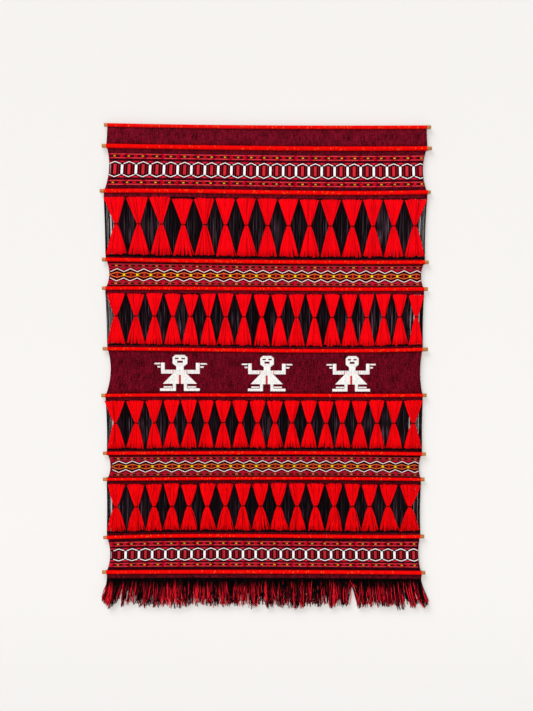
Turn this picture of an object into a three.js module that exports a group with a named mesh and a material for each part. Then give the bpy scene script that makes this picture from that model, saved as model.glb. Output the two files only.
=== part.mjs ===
// A woven wall hanging: one warp-faced cloth, stiffened by thin bamboo sticks and hung flat.
// Millimetres. +Z is up, the front faces -Y, and the origin is the middle of the top stick.
import * as THREE from 'three';

const gap = 0.3; // clearance between pieces that touch
const stickRadius = 1.9;
const stickSides = 10;
const lengthSteps = 6; // straight stretches along a bowed stick
const coverThickness = 0.5; // red warps lying over a stick
const coverReach = 95; // degrees each way from the front of a stick
const topLoopReach = 150; // the top stick's warps loop on over it to the back
const coverSegments = 6;
const clothThickness = 1.5;
const clothColumns = 6;
const edgeCurve = 0.7; // below 1 makes the drawn-in edge of a band fuller than a sine
const topRise = 0.8; // cloth above the centre of the top stick
const hemDrop = 595.7; // where the cloth ends and the fringe starts
const hem = { left: -209.5, right: 203.8 };
const floatThickness = 1.6;
const floatBar = 2.0; // depth of the edge where neighbouring bundles meet
const floatInset = 0.6; // from the cloth's edge to the outer bundles
const waistWidth = 5.0;
const waistHeight = 2.0;
const waistBulge = 1.4; // a tied waist stands further forward
const fringe = { locks: 44, thickness: 4.0, root: 5.0, length: 34.5, uneven: 5.0, splay: 9.0, tip: 0.72 };

// One row for each stick, from the top: its ends, the cloth's edges on it, how far its left end, middle and
// right end lie below the origin, and how far its left half sags and its right half rises.
const sticks = [
  { left: -213.9, right: 217.9, clothLeft: -209.5, clothRight: 212.5, drops: [-3.0, 0.0, 0.1], sway: 0.1 },
  { left: -216.9, right: 219.0, clothLeft: -211.1, clothRight: 213.3, drops: [24.6, 27.9, 28.0], sway: -0.2 },
  { left: -219.4, right: 217.5, clothLeft: -214.4, clothRight: 213.6, drops: [84.2, 86.0, 85.8], sway: -1.0 },
  { left: -216.6, right: 214.9, clothLeft: -211.7, clothRight: 210.0, drops: [174.7, 177.9, 178.5], sway: -0.1 },
  { left: -216.6, right: 213.7, clothLeft: -212.4, clothRight: 209.1, drops: [212.7, 213.6, 213.8], sway: -0.4 },
  { left: -215.6, right: 213.7, clothLeft: -209.6, clothRight: 207.2, drops: [292.6, 295.1, 293.4], sway: -0.7 },
  { left: -217.4, right: 212.1, clothLeft: -212.4, clothRight: 207.2, drops: [354.4, 354.0, 354.1], sway: -0.4 },
  { left: -215.2, right: 211.2, clothLeft: -210.3, clothRight: 206.1, drops: [430.7, 430.0, 431.7], sway: 0.2 },
  { left: -215.2, right: 209.4, clothLeft: -210.3, clothRight: 205.0, drops: [465.0, 463.7, 465.3], sway: 0.2 },
  { left: -214.8, right: 208.8, clothLeft: -210.3, clothRight: 203.9, drops: [542.0, 539.7, 540.5], sway: -0.9 },
  { left: -216.3, right: 210.3, clothLeft: -211.1, clothRight: 205.4, drops: [587.6, 587.1, 588.5], sway: 0.0 },
];

// One row for each band between two sticks: how far its edges are drawn in halfway down.
const bands = [
  { weave: 'plain', drawLeft: 0.4, drawRight: 1.2 },
  { weave: 'hexagons', drawLeft: 5.6, drawRight: 7.3 },
  { weave: 'open', drawLeft: 0.4, drawRight: 1.5 },
  { weave: 'zigzags', drawLeft: 5.2, drawRight: 6.6 },
  { weave: 'open', drawLeft: 0.5, drawRight: 1.2 },
  { weave: 'figures', drawLeft: 5.9, drawRight: 4.8 },
  { weave: 'open', drawLeft: 1.4, drawRight: 0.9 },
  { weave: 'zigzags', drawLeft: 5.0, drawRight: 4.6 },
  { weave: 'open', drawLeft: 0.8, drawRight: 1.3 },
  { weave: 'hexagons', drawLeft: 5.1, drawRight: 4.6 },
];

// One row for each open band: where the red floats start and end from the sticks, the waists' share of the way down,
// and the centres of its bundles.
const floatRows = [
  {
    below: 7.8,
    above: 7.0,
    waist: 0.47,
    centres: [-197.6, -168.0, -138.4, -109.0, -80.6, -53.4, -25.8, 1.9, 29.7, 57.6, 85.2, 114.0, 141.3, 168.3, 196.5],
  },
  {
    below: 6.3,
    above: 6.4,
    waist: 0.45,
    centres: [
      -198.2, -171.5, -147.1, -122.7, -99.5, -76.0, -53.3, -29.2, -5.7,
      17.3, 40.5, 64.0, 87.2, 110.1, 132.9, 155.3, 176.4, 198.3,
    ],
  },
  {
    below: 5.6,
    above: 6.4,
    waist: 0.48,
    centres: [
      -198.9, -171.1, -147.6, -124.3, -101.3, -78.7, -56.6, -33.6, -11.3,
      11.9, 34.2, 56.9, 79.3, 100.8, 123.4, 146.4, 168.5, 194.2,
    ],
  },
  {
    below: 6.3,
    above: 7.1,
    waist: 0.48,
    centres: [
      -198.0, -170.9, -147.6, -124.0, -101.6, -77.7, -53.5, -30.4, -7.1,
      16.7, 41.0, 65.3, 89.7, 113.9, 136.6, 161.0, 189.6,
    ],
  },
];

// How the cloth swings back around a stick, at distances above and below the stick's centre.
const pocket = [
  { offset: 0, back: stickRadius + gap + clothThickness / 2 },
  { offset: 3.4, back: 2.4 },
  { offset: 7.0, back: 0 },
];

const lerp = THREE.MathUtils.lerp;
const bamboo = new THREE.MeshStandardMaterial({ color: 0xc88a3a, roughness: 0.5, metalness: 0 });
const redYarn = new THREE.MeshStandardMaterial({ color: 0xee1108, roughness: 0.8, metalness: 0 });
const maroonCloth = new THREE.MeshStandardMaterial({ color: 0x4e0a18, roughness: 0.9, metalness: 0 });
const fringeYarn = new THREE.MeshStandardMaterial({ color: 0x5a0f16, roughness: 0.9, metalness: 0 });

function twoDigits(number) {
  return String(number).padStart(2, '0');
}

// An even-looking but irregular value from 0 to 1 for each index.
function scatter(index) {
  const value = Math.sin(index * 12.9898) * 43758.5453;
  return value - Math.floor(value);
}

// The bowed line of a stick: a parabola through its two ends and its middle, with a slight sway.
function dropAt(stick, x) {
  const t = (x - stick.left) / (stick.right - stick.left);
  const [left, middle, right] = stick.drops;
  const bowed = left * (1 - t) * (1 - 2 * t) + middle * 4 * t * (1 - t) + right * t * (2 * t - 1);
  return bowed + stick.sway * Math.sin(2 * Math.PI * t);
}

function midDrop(stick) {
  return stick.drops[1];
}

// Moves every vertex of a geometry to where the function puts it.
function reshape(geometry, place) {
  const points = geometry.getAttribute('position');
  const point = new THREE.Vector3();
  for (let i = 0; i < points.count; i += 1) {
    point.fromBufferAttribute(points, i);
    place(point);
    points.setXYZ(i, point.x, point.y, point.z);
  }
  geometry.computeVertexNormals();
  return geometry;
}

// Bends a straight piece along X to the stick's bow, measured from the stick's middle.
function bow(geometry, stick) {
  return reshape(geometry, (point) => {
    point.z += midDrop(stick) - dropAt(stick, point.x);
  });
}

function named(name, geometry, material) {
  const mesh = new THREE.Mesh(geometry, material);
  mesh.name = name;
  return mesh;
}

function stickGeometry(stick) {
  const length = stick.right - stick.left;
  const geometry = new THREE.CylinderGeometry(stickRadius, stickRadius, length, stickSides, lengthSteps);
  geometry.rotateZ(Math.PI / 2);
  geometry.translate((stick.left + stick.right) / 2, 0, 0);
  return bow(geometry, stick);
}

// The red warps over a stick: a curved strip in front of it, open at the back.
function coverGeometry(stick, isTop) {
  const inner = stickRadius + gap;
  const outer = inner + coverThickness;
  const from = THREE.MathUtils.degToRad(-coverReach);
  const to = THREE.MathUtils.degToRad(isTop ? topLoopReach : coverReach);
  const section = new THREE.Shape();
  section.absarc(0, 0, outer, from, to, false);
  section.absarc(0, 0, inner, to, from, true);
  const geometry = new THREE.ExtrudeGeometry(section, {
    depth: stick.clothRight - stick.clothLeft,
    steps: lengthSteps,
    curveSegments: coverSegments,
    bevelEnabled: false,
  });
  const front = new THREE.Vector3(0, -1, 0);
  const up = new THREE.Vector3(0, 0, 1);
  const left = new THREE.Vector3(-1, 0, 0);
  geometry.applyMatrix4(new THREE.Matrix4().makeBasis(front, up, left));
  geometry.translate(stick.clothRight, 0, 0);
  return bow(geometry, stick);
}

// The cloth's level lines from top to bottom, each with its edges, its depth and its height at any x.
function clothLines() {
  const lines = [];
  const top = sticks[0];
  const topBack = pocket[0].back;
  lines.push({ left: top.clothLeft, right: top.clothRight, back: topBack, drop: (x) => dropAt(top, x) - topRise });
  bands.forEach((band, i) => {
    const upper = sticks[i];
    const lower = sticks[i + 1];
    const height = midDrop(lower) - midDrop(upper);
    const nearTop = pocket.slice(i === 0 ? 1 : 0).map(({ offset, back }) => ({ down: offset, back }));
    const reach = pocket[2].offset;
    const middle = [1, 2, 3].map((n) => ({ down: lerp(reach, height - reach, n / 4), back: 0 }));
    const nearBottom = pocket.slice(1).reverse().map(({ offset, back }) => ({ down: height - offset, back }));
    for (const { down, back } of [...nearTop, ...middle, ...nearBottom]) {
      const share = down / height;
      const pull = Math.sin(Math.PI * share) ** edgeCurve;
      lines.push({
        left: lerp(upper.clothLeft, lower.clothLeft, share) + band.drawLeft * pull,
        right: lerp(upper.clothRight, lower.clothRight, share) - band.drawRight * pull,
        back,
        drop: (x) => lerp(dropAt(upper, x), dropAt(lower, x), share),
      });
    }
  });
  const last = sticks[sticks.length - 1];
  for (const { offset, back } of pocket) {
    const share = offset / (hemDrop - midDrop(last));
    lines.push({
      left: lerp(last.clothLeft, hem.left, share),
      right: lerp(last.clothRight, hem.right, share),
      back,
      drop: (x) => dropAt(last, x) + offset,
    });
  }
  lines.push({ left: hem.left, right: hem.right, back: 0, drop: () => hemDrop });
  return lines;
}

function clothGeometry() {
  const lines = clothLines();
  const stretches = lines.length - 1;
  const geometry = new THREE.BoxGeometry(1, clothThickness, 1, clothColumns, 1, stretches);
  return reshape(geometry, (point) => {
    const line = lines[Math.round((0.5 - point.z) * stretches)];
    point.x = lerp(line.left, line.right, point.x + 0.5);
    point.y += line.back;
    point.z = -line.drop(point.x);
  });
}

// A row of tied bundles: a plate with a diamond-shaped opening between neighbours, thicker at the waists.
function floatGeometry(row, upper, lower) {
  const topZ = (x) => -dropAt(upper, x) - row.below;
  const bottomZ = (x) => -dropAt(lower, x) + row.above;
  const waistZ = (x) => lerp(topZ(x), bottomZ(x), row.waist);
  const { centres } = row;
  const between = centres.slice(1).map((x, i) => (x + centres[i]) / 2);
  const edge = {
    topLeft: upper.clothLeft + floatInset,
    topRight: upper.clothRight - floatInset,
    bottomLeft: lower.clothLeft + floatInset,
    bottomRight: lower.clothRight - floatInset,
  };
  const half = waistWidth / 2;
  const neck = waistHeight / 2;
  const at = (x, z) => new THREE.Vector2(x, z);
  const topEdge = [edge.topLeft, ...between, edge.topRight].map((x) => at(x, topZ(x)));
  const bottomEdge = [edge.bottomLeft, ...between, edge.bottomRight].map((x) => at(x, bottomZ(x)));
  const leftWaist = centres[0] - half;
  const rightWaist = centres[centres.length - 1] + half;
  const outline = [
    ...topEdge,
    at(edge.topRight, topZ(edge.topRight) - floatBar),
    at(rightWaist, waistZ(rightWaist) + neck),
    at(rightWaist, waistZ(rightWaist) - neck),
    at(edge.bottomRight, bottomZ(edge.bottomRight) + floatBar),
    ...bottomEdge.reverse(),
    at(edge.bottomLeft, bottomZ(edge.bottomLeft) + floatBar),
    at(leftWaist, waistZ(leftWaist) - neck),
    at(leftWaist, waistZ(leftWaist) + neck),
    at(edge.topLeft, topZ(edge.topLeft) - floatBar),
  ];
  const plate = new THREE.Shape(outline);
  between.forEach((x, i) => {
    const fromX = centres[i] + half;
    const toX = centres[i + 1] - half;
    plate.holes.push(new THREE.Path([
      at(x, topZ(x) - floatBar),
      at(fromX, waistZ(fromX) + neck),
      at(fromX, waistZ(fromX) - neck),
      at(x, bottomZ(x) + floatBar),
      at(toX, waistZ(toX) - neck),
      at(toX, waistZ(toX) + neck),
    ]));
  });
  const geometry = new THREE.ExtrudeGeometry(plate, { depth: floatThickness, bevelEnabled: false });
  geometry.rotateX(Math.PI / 2);
  return reshape(geometry, (point) => {
    const isFront = point.y < -floatThickness / 2;
    const isWaist = Math.abs(point.z - waistZ(point.x)) < waistHeight;
    point.y -= isFront && isWaist ? waistBulge : 0;
  });
}

// The cut warp ends: a comb of tapering locks that spread outwards towards both sides.
function fringeGeometry() {
  const width = hem.right - hem.left;
  const middle = (hem.left + hem.right) / 2;
  const pitch = width / fringe.locks;
  const outline = [new THREE.Vector2(hem.left, 0), new THREE.Vector2(hem.left, -fringe.root)];
  for (let i = 0; i < fringe.locks; i += 1) {
    const root = hem.left + (i + 0.5) * pitch;
    const side = (root - middle) / (width / 2);
    const lean = fringe.splay * side ** 5 + (scatter(i) - 0.5) * pitch * (1 - fringe.tip);
    const tip = -fringe.length - (scatter(i + fringe.locks) - 0.5) * fringe.uneven;
    const halfTip = (pitch * fringe.tip) / 2;
    outline.push(new THREE.Vector2(root + lean - halfTip, tip));
    outline.push(new THREE.Vector2(root + lean + halfTip, tip));
    outline.push(new THREE.Vector2(root + pitch / 2, -fringe.root));
  }
  outline.push(new THREE.Vector2(hem.right, 0));
  const comb = new THREE.Shape(outline.reverse());
  const geometry = new THREE.ExtrudeGeometry(comb, { depth: fringe.thickness, bevelEnabled: false });
  geometry.rotateX(Math.PI / 2);
  return geometry;
}

const hanging = new THREE.Group();

sticks.forEach((stick, i) => {
  const rung = new THREE.Group();
  rung.position.z = -midDrop(stick);
  rung.add(named(`stick_${twoDigits(i + 1)}`, stickGeometry(stick), bamboo));
  rung.add(named(`stick_cover_${twoDigits(i + 1)}`, coverGeometry(stick, i === 0), redYarn));
  hanging.add(rung);
});

hanging.add(named('ground_cloth', clothGeometry(), maroonCloth));

const openBands = bands.map((band, i) => ({ ...band, index: i })).filter((band) => band.weave === 'open');
openBands.forEach((band, n) => {
  const geometry = floatGeometry(floatRows[n], sticks[band.index], sticks[band.index + 1]);
  const floats = named(`tied_floats_${n + 1}`, geometry, redYarn);
  floats.position.y = -clothThickness / 2 - gap;
  hanging.add(floats);
});

const comb = named('fringe', fringeGeometry(), fringeYarn);
comb.position.set(0, fringe.thickness / 2, -hemDrop - gap);
hanging.add(comb);

export default hanging;
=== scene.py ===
import math

import bmesh
import bpy
import numpy as np
from mathutils import Matrix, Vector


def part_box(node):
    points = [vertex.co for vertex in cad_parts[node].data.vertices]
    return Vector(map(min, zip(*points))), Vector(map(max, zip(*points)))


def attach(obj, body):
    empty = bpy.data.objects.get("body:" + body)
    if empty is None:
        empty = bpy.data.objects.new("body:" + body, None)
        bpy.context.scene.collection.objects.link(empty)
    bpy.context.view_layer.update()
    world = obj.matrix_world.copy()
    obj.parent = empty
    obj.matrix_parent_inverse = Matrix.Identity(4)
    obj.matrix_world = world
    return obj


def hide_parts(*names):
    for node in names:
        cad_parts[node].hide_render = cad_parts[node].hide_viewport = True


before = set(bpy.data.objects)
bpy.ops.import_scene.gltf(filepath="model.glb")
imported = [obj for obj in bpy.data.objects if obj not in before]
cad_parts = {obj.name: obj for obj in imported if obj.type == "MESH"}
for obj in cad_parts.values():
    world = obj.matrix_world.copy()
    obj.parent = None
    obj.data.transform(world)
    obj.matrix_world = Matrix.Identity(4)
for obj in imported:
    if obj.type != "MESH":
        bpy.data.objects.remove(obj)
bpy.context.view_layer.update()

mm = 0.001
rng = np.random.default_rng(11)
acrossX, acrossZ = np.array([1.0, 0, 0]), np.array([0, 0, 1.0])


def dye(red, green, blue):  # a colour as seen on screen, 0 to 255, made linear
    shades = [c / 255 for c in (red, green, blue)]
    return np.array([c / 12.92 if c <= 0.04045 else ((c + 0.055) / 1.055) ** 2.4 for c in shades])


def blend(first, second, share):
    return first * (1 - share) + second * share


def scattered(count, low, high):
    return rng.uniform(low, high, count)


yarnDyes = {
    "coverRed": dye(254, 8, 6),
    "fleck": dye(255, 128, 40),
    "crimson": dye(212, 9, 44),
    "lineRed": dye(228, 56, 66),
    "salmon": dye(168, 52, 54),
    "barRed": dye(230, 46, 56),
    "dullRed": dye(206, 48, 54),
    "lens": dye(224, 40, 62),
    "square": dye(224, 4, 30),
    "ember": dye(212, 48, 20),
    "orange": dye(255, 122, 56),
    "copper": dye(196, 92, 40),
    "amber": dye(226, 124, 38),
    "gold": dye(238, 166, 28),
    "yellow": dye(255, 222, 12),
    "white": dye(255, 253, 250),
    "ash": dye(160, 158, 160),
    # painted sheen on the black warps, standing in for highlights
    "paintedSheen": dye(82, 62, 73),
    "black": dye(13, 5, 9),
    "dark": dye(64, 4, 18),
    "maroon": dye(100, 10, 28),
    "deepMaroon": dye(90, 6, 23),
    "hem": dye(76, 10, 21),
    "strip": dye(90, 11, 25),
    "selvage": dye(80, 8, 22),
    "shadow": dye(54, 5, 16),
    "wine": dye(112, 4, 24),
    "garnet": dye(98, 2, 14),
    "ruby": dye(140, 6, 30),
}


# Where the sticks, the cloth and the bundles are, read from the frame

reading = {"bow": 4, "hemNear": 0.5 * mm, "halfNear": 1 * mm, "waistNear": 0.2 * mm, "hemRise": 0.3 * mm}


def nodePoints(name):
    return np.array([v.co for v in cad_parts[name].data.vertices])


def readRung(number):
    points = nodePoints(f"stick_{number:02d}")
    coverLow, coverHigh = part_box(f"stick_cover_{number:02d}")
    return {
        "left": points[:, 0].min(), "right": points[:, 0].max(),
        "clothLeft": coverLow.x, "clothRight": coverHigh.x,
        "curve": np.polyfit(points[:, 0], points[:, 2], reading["bow"]), "pocket": True,
    }


def rungZ(rung, x):
    return np.polyval(rung["curve"], x)


def clothWidth(rung):
    return rung["clothRight"] - rung["clothLeft"]


rungs = [readRung(n) for n in range(1, 12)]
groundPoints = nodePoints("ground_cloth")
hemPoints = groundPoints[groundPoints[:, 2] < groundPoints[:, 2].min() + reading["hemNear"]]
hemGap = (rungZ(rungs[-1], hemPoints[:, 0]) - hemPoints[:, 2]).mean() - reading["hemRise"]
rungs.append({  # the hem runs alongside the last stick
    "clothLeft": hemPoints[:, 0].min(), "clothRight": hemPoints[:, 0].max(),
    "curve": np.polysub(rungs[-1]["curve"], [hemGap]), "pocket": False,
})


def readDraw(upper, lower):  # how far a band's edges are drawn in, halfway down
    middle = (rungZ(upper, groundPoints[:, 0]) + rungZ(lower, groundPoints[:, 0])) / 2
    half = groundPoints[np.abs(groundPoints[:, 2] - middle) < reading["halfNear"], 0]
    left = half.min() - (upper["clothLeft"] + lower["clothLeft"]) / 2
    right = (upper["clothRight"] + lower["clothRight"]) / 2 - half.max()
    return left, right


rightEase = np.array([0.7, 0.9, 0, 1.6, 0, 1.0, 0, 0.8, 0, 1.0, 0.9]) * mm  # woven bands reach further right
draws = [readDraw(rungs[n], rungs[n + 1]) for n in range(10)] + [(0, 0)]
draws = [(left, right - ease) for (left, right), ease in zip(draws, rightEase)]


def readBundles(number, upper, lower):  # the waists are the part of a float row that is furthest forward
    points = nodePoints(f"tied_floats_{number}")
    waist = points[points[:, 1] < points[:, 1].min() + reading["waistNear"]]
    waistX = np.round(waist[:, 0], 5)
    sides = np.unique(waistX).reshape(-1, 2)
    return {
        "centres": sides.mean(1),
        "waistZ": np.array([waist[np.isin(waistX, s), 2].mean() for s in sides]),
        "below": (rungZ(upper, points[:, 0]) - points[:, 2]).min(),
        "above": (points[:, 2] - rungZ(lower, points[:, 0])).min(),
    }


openBands = [2, 4, 6, 8]
bundles = [readBundles(n + 1, rungs[b], rungs[b + 1]) for n, b in enumerate(openBands)]
print("frame read:", len(rungs) - 1, "sticks,", sum(len(b["centres"]) for b in bundles), "bundles")


# The cloth's surface

cloth = {
    "edgeCurve": 0.7, "pocketDepth": 3.0 * mm, "pocketReach": 7.0 * mm, "thickness": 1.1 * mm,
    "ripple": 0.35 * mm, "rippleWaves": [(31, 17, 0), (13, -41, 1.3)],  # radians a metre across and up, start
}


def bandHeight(band):
    return rungZ(rungs[band], 0) - rungZ(rungs[band + 1], 0)


def clothPoint(band, u, v):  # u runs across a band and v down it, from one stick's centre to the next
    upper, lower = rungs[band], rungs[band + 1]
    pull = np.sin(np.pi * np.clip(v, 0, 1)) ** cloth["edgeCurve"]
    left = blend(upper["clothLeft"], lower["clothLeft"], v) + draws[band][0] * pull
    right = blend(upper["clothRight"], lower["clothRight"], v) - draws[band][1] * pull
    x = blend(left, right, u)
    top, bottom = rungZ(upper, x), rungZ(lower, x)
    z = blend(top, bottom, v)
    away = np.minimum(np.abs(top - z), np.abs(z - bottom)) if lower["pocket"] else np.abs(top - z)
    near = np.clip(away / cloth["pocketReach"], 0, 1)
    wave = math.prod(np.sin(x * across + z * up + start) for across, up, start in cloth["rippleWaves"])
    y = cloth["pocketDepth"] * (0.5 + 0.5 * np.cos(np.pi * near)) + cloth["ripple"] * wave * near
    return np.stack(np.broadcast_arrays(x, y, z), -1)


# Shader tools

class Wire:
    def __init__(self, finish, socket):
        self.finish, self.socket = finish, socket

    def calc(self, operation, left, right):
        return self.finish.node("ShaderNodeMath", {"operation": operation}, {0: left, 1: right})

    def __add__(self, other):
        return self.calc("ADD", self, other)

    def __radd__(self, other):
        return self.calc("ADD", other, self)

    def __sub__(self, other):
        return self.calc("SUBTRACT", self, other)

    def __rsub__(self, other):
        return self.calc("SUBTRACT", other, self)

    def __mul__(self, other):
        return self.calc("MULTIPLY", self, other)

    def __rmul__(self, other):
        return self.calc("MULTIPLY", other, self)


class Finish:
    def __init__(self, name, **fixed):  # fixed values sit on the shader's own sockets
        self.material = bpy.data.materials.new(name)
        self.material.use_nodes = True
        self.tree = self.material.node_tree
        self.shader = self.tree.nodes["Principled BSDF"]
        for socket, value in fixed.items():
            self.shader.inputs[socket].default_value = value

    def plug(self, socket, value):
        if isinstance(value, Wire):
            self.tree.links.new(value.socket, socket)
        else:
            socket.default_value = value

    def node(self, kind, settings=None, sockets=None, out=0):
        made = self.tree.nodes.new(kind)
        for key, value in (settings or {}).items():
            if key == "stops":
                for spot, stop in zip(value, made.color_ramp.elements):
                    stop.position, stop.color = spot[0], (*spot[1], 1)
            else:
                setattr(made, key, value)
        for key, value in (sockets or {}).items():
            self.plug(made.inputs[key], value)
        return Wire(self, made.outputs[out])

    def feed(self, socket, value):
        self.plug(self.shader.inputs[socket], value)

    def mix(self, share, first, second, how="MIX"):
        settings = {"data_type": "RGBA", "blend_type": how}
        return self.node("ShaderNodeMix", settings, {0: share, 6: first, 7: second}, 2)

    def shaded(self, colour, shade):
        grey = self.node("ShaderNodeCombineColor", {}, {0: shade, 1: shade, 2: shade})
        return self.mix(1.0, colour, grey, "MULTIPLY")

    def strandPlace(self, uvMap):  # along and around a strand, or across and down a sheet
        place = self.node("ShaderNodeUVMap", {"uv_map": uvMap})
        return [self.node("ShaderNodeSeparateXYZ", {}, {0: place}, part) for part in (0, 1)]

    def objectPlace(self):
        return self.node("ShaderNodeTexCoord", {}, {}, 3)

    def dyed(self):  # the colour that a mesh carries
        return self.node("ShaderNodeAttribute", {"attribute_name": "dye"})

    def wave(self, turns):
        return self.node("ShaderNodeMath", {"operation": "SINE"}, {0: turns * (2 * math.pi)})

    def noise(self, place, scale, detail):
        return self.node("ShaderNodeTexNoise", {}, {"Vector": place, "Scale": scale, "Detail": detail})

    def grain(self, across, down, fineness):  # noise stretched along or across the threads
        sockets = {0: across * fineness[0], 1: down * fineness[1], 2: fineness[2]}
        return self.noise(self.node("ShaderNodeCombineXYZ", {}, sockets), 1.0, 1)

    def rise(self, value, low, high, most):  # from 0 at low to the most at high
        return self.node("ShaderNodeMapRange", {}, {0: value, 1: low, 2: high, 3: 0.0, 4: most})

    def bump(self, height, distance, strength):
        sockets = {"Height": height, "Distance": distance, "Strength": strength}
        self.feed("Normal", self.node("ShaderNodeBump", {}, sockets))


# Yarn: the dye comes from the strand's own attribute, the twist runs along its UV map

yarn = {"turnsAMm": 0.45, "twistShade": 0.06, "patches": 420, "roughSpread": 0.12, "ridge": 0.12 * mm}


def yarnFinish(name, slot, roughness, gloss, unevenness):  # a finish is a material and its slot
    finish = Finish(name, **{"Specular IOR Level": gloss})
    along, around = finish.strandPlace("yarn")
    twist = finish.wave(along * yarn["turnsAMm"] + around)
    patchy = finish.noise(finish.objectPlace(), yarn["patches"], 3)
    shade = 1 - unevenness + patchy * (2 * unevenness) + twist * yarn["twistShade"]
    finish.feed("Base Color", finish.shaded(finish.dyed(), shade))
    finish.feed("Roughness", roughness + patchy * yarn["roughSpread"])
    finish.bump(twist, yarn["ridge"], 0.5)
    return finish.material, slot


redYarn = yarnFinish("tied_red_yarn", "red_yarn", roughness=0.85, gloss=0.03, unevenness=0.14)
coverYarn = yarnFinish("stick_cover_yarn", "cover_yarn", roughness=0.8, gloss=0.04, unevenness=0.1)
blackYarn = yarnFinish("black_warp_yarn", "maroon_cloth", roughness=0.5, gloss=0.04, unevenness=0.3)
patternYarn = yarnFinish("pattern_yarn", "maroon_cloth", roughness=0.85, gloss=0.04, unevenness=0.1)
fringeYarn = yarnFinish("fringe_yarn", "fringe_yarn", roughness=0.6, gloss=0.03, unevenness=0.25)

weaveLook = {  # mm from rib to rib and weft to weft; how fine each noise is across and down, and its layer
    "rib": 1.05, "weft": 1.3, "streak": (0.75, 0.1, 0.0), "thread": (0.12, 0.8, 3.0),
    "fleck": (0.66, 0.55, 5.0), "cloud": (0.09, 0.06, 9.0), "brightFleck": dye(158, 4, 36),
    "dyedRed": (0.03, 0.1), "fleckFrom": (0.86, 1.1), "fleckShare": 0.5, "relief": 0.25 * mm,
}


def weaveFinish():  # warp-faced cloth: fine upright ribs crossed by the weft
    finish = Finish("maroon_weave", **{"Specular IOR Level": 0.03})
    colour = finish.dyed()
    across, down = finish.strandPlace("weave")
    ribs, weft = finish.wave(across * (1 / weaveLook["rib"])), finish.wave(down * (1 / weaveLook["weft"]))
    streak, thread, fleck, cloud = [
        finish.grain(across, down, weaveLook[grain]) for grain in ("streak", "thread", "fleck", "cloud")]
    shade = (streak * 2.4 + thread * 1.3 + fleck * 2.1 + cloud * 1.2) - 2.5 + ribs * weft * 0.1
    red = finish.node("ShaderNodeSeparateColor", {}, {0: colour})
    isDyed = finish.rise(red, *weaveLook["dyedRed"], 1.0)  # no red flecks on black
    bright = finish.rise(fleck + streak * 0.6, *weaveLook["fleckFrom"], weaveLook["fleckShare"])
    flecked = finish.mix(bright * isDyed, finish.shaded(colour, shade), (*weaveLook["brightFleck"], 1))
    finish.feed("Base Color", flecked)
    finish.feed("Roughness", 0.75 + fleck * 0.2)
    finish.bump(ribs * 0.6 + ribs * weft * 0.5 + fleck, weaveLook["relief"], 0.6)
    return finish.material, "maroon_cloth"


maroonWeave = weaveFinish()

bambooLook = {
    "fibres": (60, 1600, 1600), "dark": (0.3, dye(150, 88, 30)), "light": (0.72, dye(216, 152, 74)),
    "stain": dye(168, 92, 26), "stainScale": 90, "stainShare": 0.35, "relief": 0.1 * mm,
}


def bambooFinish():
    finish = Finish("split_bamboo", **{"Specular IOR Level": 0.4})
    place = finish.objectPlace()
    stretched = finish.node("ShaderNodeMapping", {}, {0: place, 3: bambooLook["fibres"]})
    fibre = finish.noise(stretched, 1.0, 4)
    stops = [bambooLook["dark"], bambooLook["light"]]
    wood = finish.node("ShaderNodeValToRGB", {"stops": stops}, {0: fibre})
    stain = finish.noise(place, bambooLook["stainScale"], 2) * bambooLook["stainShare"]
    finish.feed("Base Color", finish.mix(stain, wood, (*bambooLook["stain"], 1)))
    finish.feed("Roughness", 0.4 + fibre * 0.25)
    finish.bump(fibre, bambooLook["relief"], 0.5)
    return finish.material, "bamboo"


bambooWood = bambooFinish()
print("yarn, weave and bamboo finishes made")


# Strands: one straight tube from bmesh, copied along many paths into one mesh

def strandUnit(sides, steps, turn=0.0):  # turned by half a side it lies flat
    mesh = bmesh.new()
    radius = 1 / math.cos(turn)
    bmesh.ops.create_cone(mesh, cap_ends=True, segments=sides, radius1=radius, radius2=radius, depth=1)
    bmesh.ops.rotate(mesh, verts=mesh.verts[:], matrix=Matrix.Rotation(turn, 3, "Z"))
    rails = [e for e in mesh.edges if abs(e.verts[0].co.z - e.verts[1].co.z) > 0.5]
    bmesh.ops.subdivide_edges(mesh, edges=rails, cuts=steps - 1, use_grid_fill=True)
    mesh.verts.index_update()
    points = np.array([v.co for v in mesh.verts])
    around = []
    for face in mesh.faces:
        turns = [math.atan2(l.vert.co.y, l.vert.co.x) / (2 * math.pi) % 1 for l in face.loops]
        isSide = np.ptp([l.vert.co.z for l in face.loops]) > 1e-4
        wraps = isSide and max(turns) - min(turns) > 0.5
        around += [t + 1 if wraps and t < 0.5 else t for t in turns]
    unit = {
        "ring": points[:, :2], "along": points[:, 2] + 0.5, "around": np.array(around),
        "loops": np.array([l.vert.index for f in mesh.faces for l in f.loops]),
        "sizes": np.array([len(f.verts) for f in mesh.faces]),
    }
    mesh.free()
    return unit


def unitVectors(vectors):
    return vectors / np.maximum(np.linalg.norm(vectors, axis=-1, keepdims=True), 1e-12)


def alongPath(unit, values):  # values at a path's points, read at the unit's vertices
    steps = values.shape[1] - 1
    spot = unit["along"] * steps
    before = np.minimum(spot.astype(int), steps - 1)
    share = (spot - before).reshape(1, -1, *[1] * (values.ndim - 2))
    return blend(values[:, before], values[:, before + 1], share)


def bakeCells(unit, copies, aspect):  # each strand has its own cell on the bake map
    columns = max(1, round(math.sqrt(copies / aspect)))
    rows = math.ceil(copies / columns)
    cell = np.stack(np.divmod(np.arange(copies), rows), -1)[:, None]
    along, around = unit["along"][unit["loops"]], unit["around"] / max(unit["around"].max(), 1)
    inCell = np.stack([0.04 + 0.92 * along, 0.1 + 0.8 * around], -1)  # with a margin
    return (cell + inCell[None]) / (columns, rows)


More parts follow.
